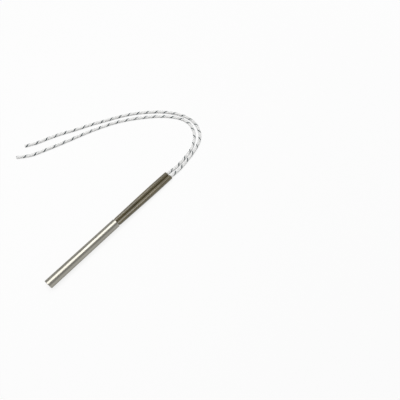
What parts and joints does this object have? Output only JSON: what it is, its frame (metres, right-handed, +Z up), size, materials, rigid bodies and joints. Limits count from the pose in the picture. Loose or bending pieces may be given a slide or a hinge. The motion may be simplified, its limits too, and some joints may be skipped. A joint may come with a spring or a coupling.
{
  "type": "cartridge heater",
  "caption": "Cartridge heater: a ground steel sheath, closed at the tip, around a wound magnesia core, with sleeved glass-braided leads at its open end.",
  "frame": {"origin": "centre of the closed tip's flat face, on the sheath's axis", "axes": "+X along the sheath from the closed tip to the open mouth, +Y to the side on which the leads loop back, +Z up from the surface on which the heater lies"},
  "size_m": [0.258, 0.1727, 0.01],
  "materials": {
    "sheath_steel": "ground stainless steel",
    "magnesia": "pressed magnesia",
    "spacer_ceramic": "pressed insulator",
    "seal_ceramic": "fired ceramic",
    "resistance_wire": "drawn nickel-chromium wire",
    "nickel": "drawn nickel",
    "sleeve_glass": "varnished glass braid",
    "lead_braid": "white glass braid with a dark tracer"
  },
  "bodies": {
    "root": {"sheath": "sheath_steel", "end_disc": "sheath_steel", "end_spacer": "spacer_ceramic", "lead_end_spacer": "spacer_ceramic", "end_seal": "seal_ceramic", "core_1": "magnesia", "core_2": "magnesia", "core_3": "magnesia", "core_4": "magnesia", "core_5": "magnesia", "heating_coil": "resistance_wire", "magnesia_fill": "magnesia", "live_pin": "nickel", "return_pin": "nickel", "crimp_left": "nickel", "crimp_right": "nickel", "conductor_left": "nickel", "conductor_right": "nickel", "sleeve_left": "sleeve_glass", "sleeve_right": "sleeve_glass", "lead_left": "lead_braid", "lead_right": "lead_braid"}
  },
  "joints": []
}
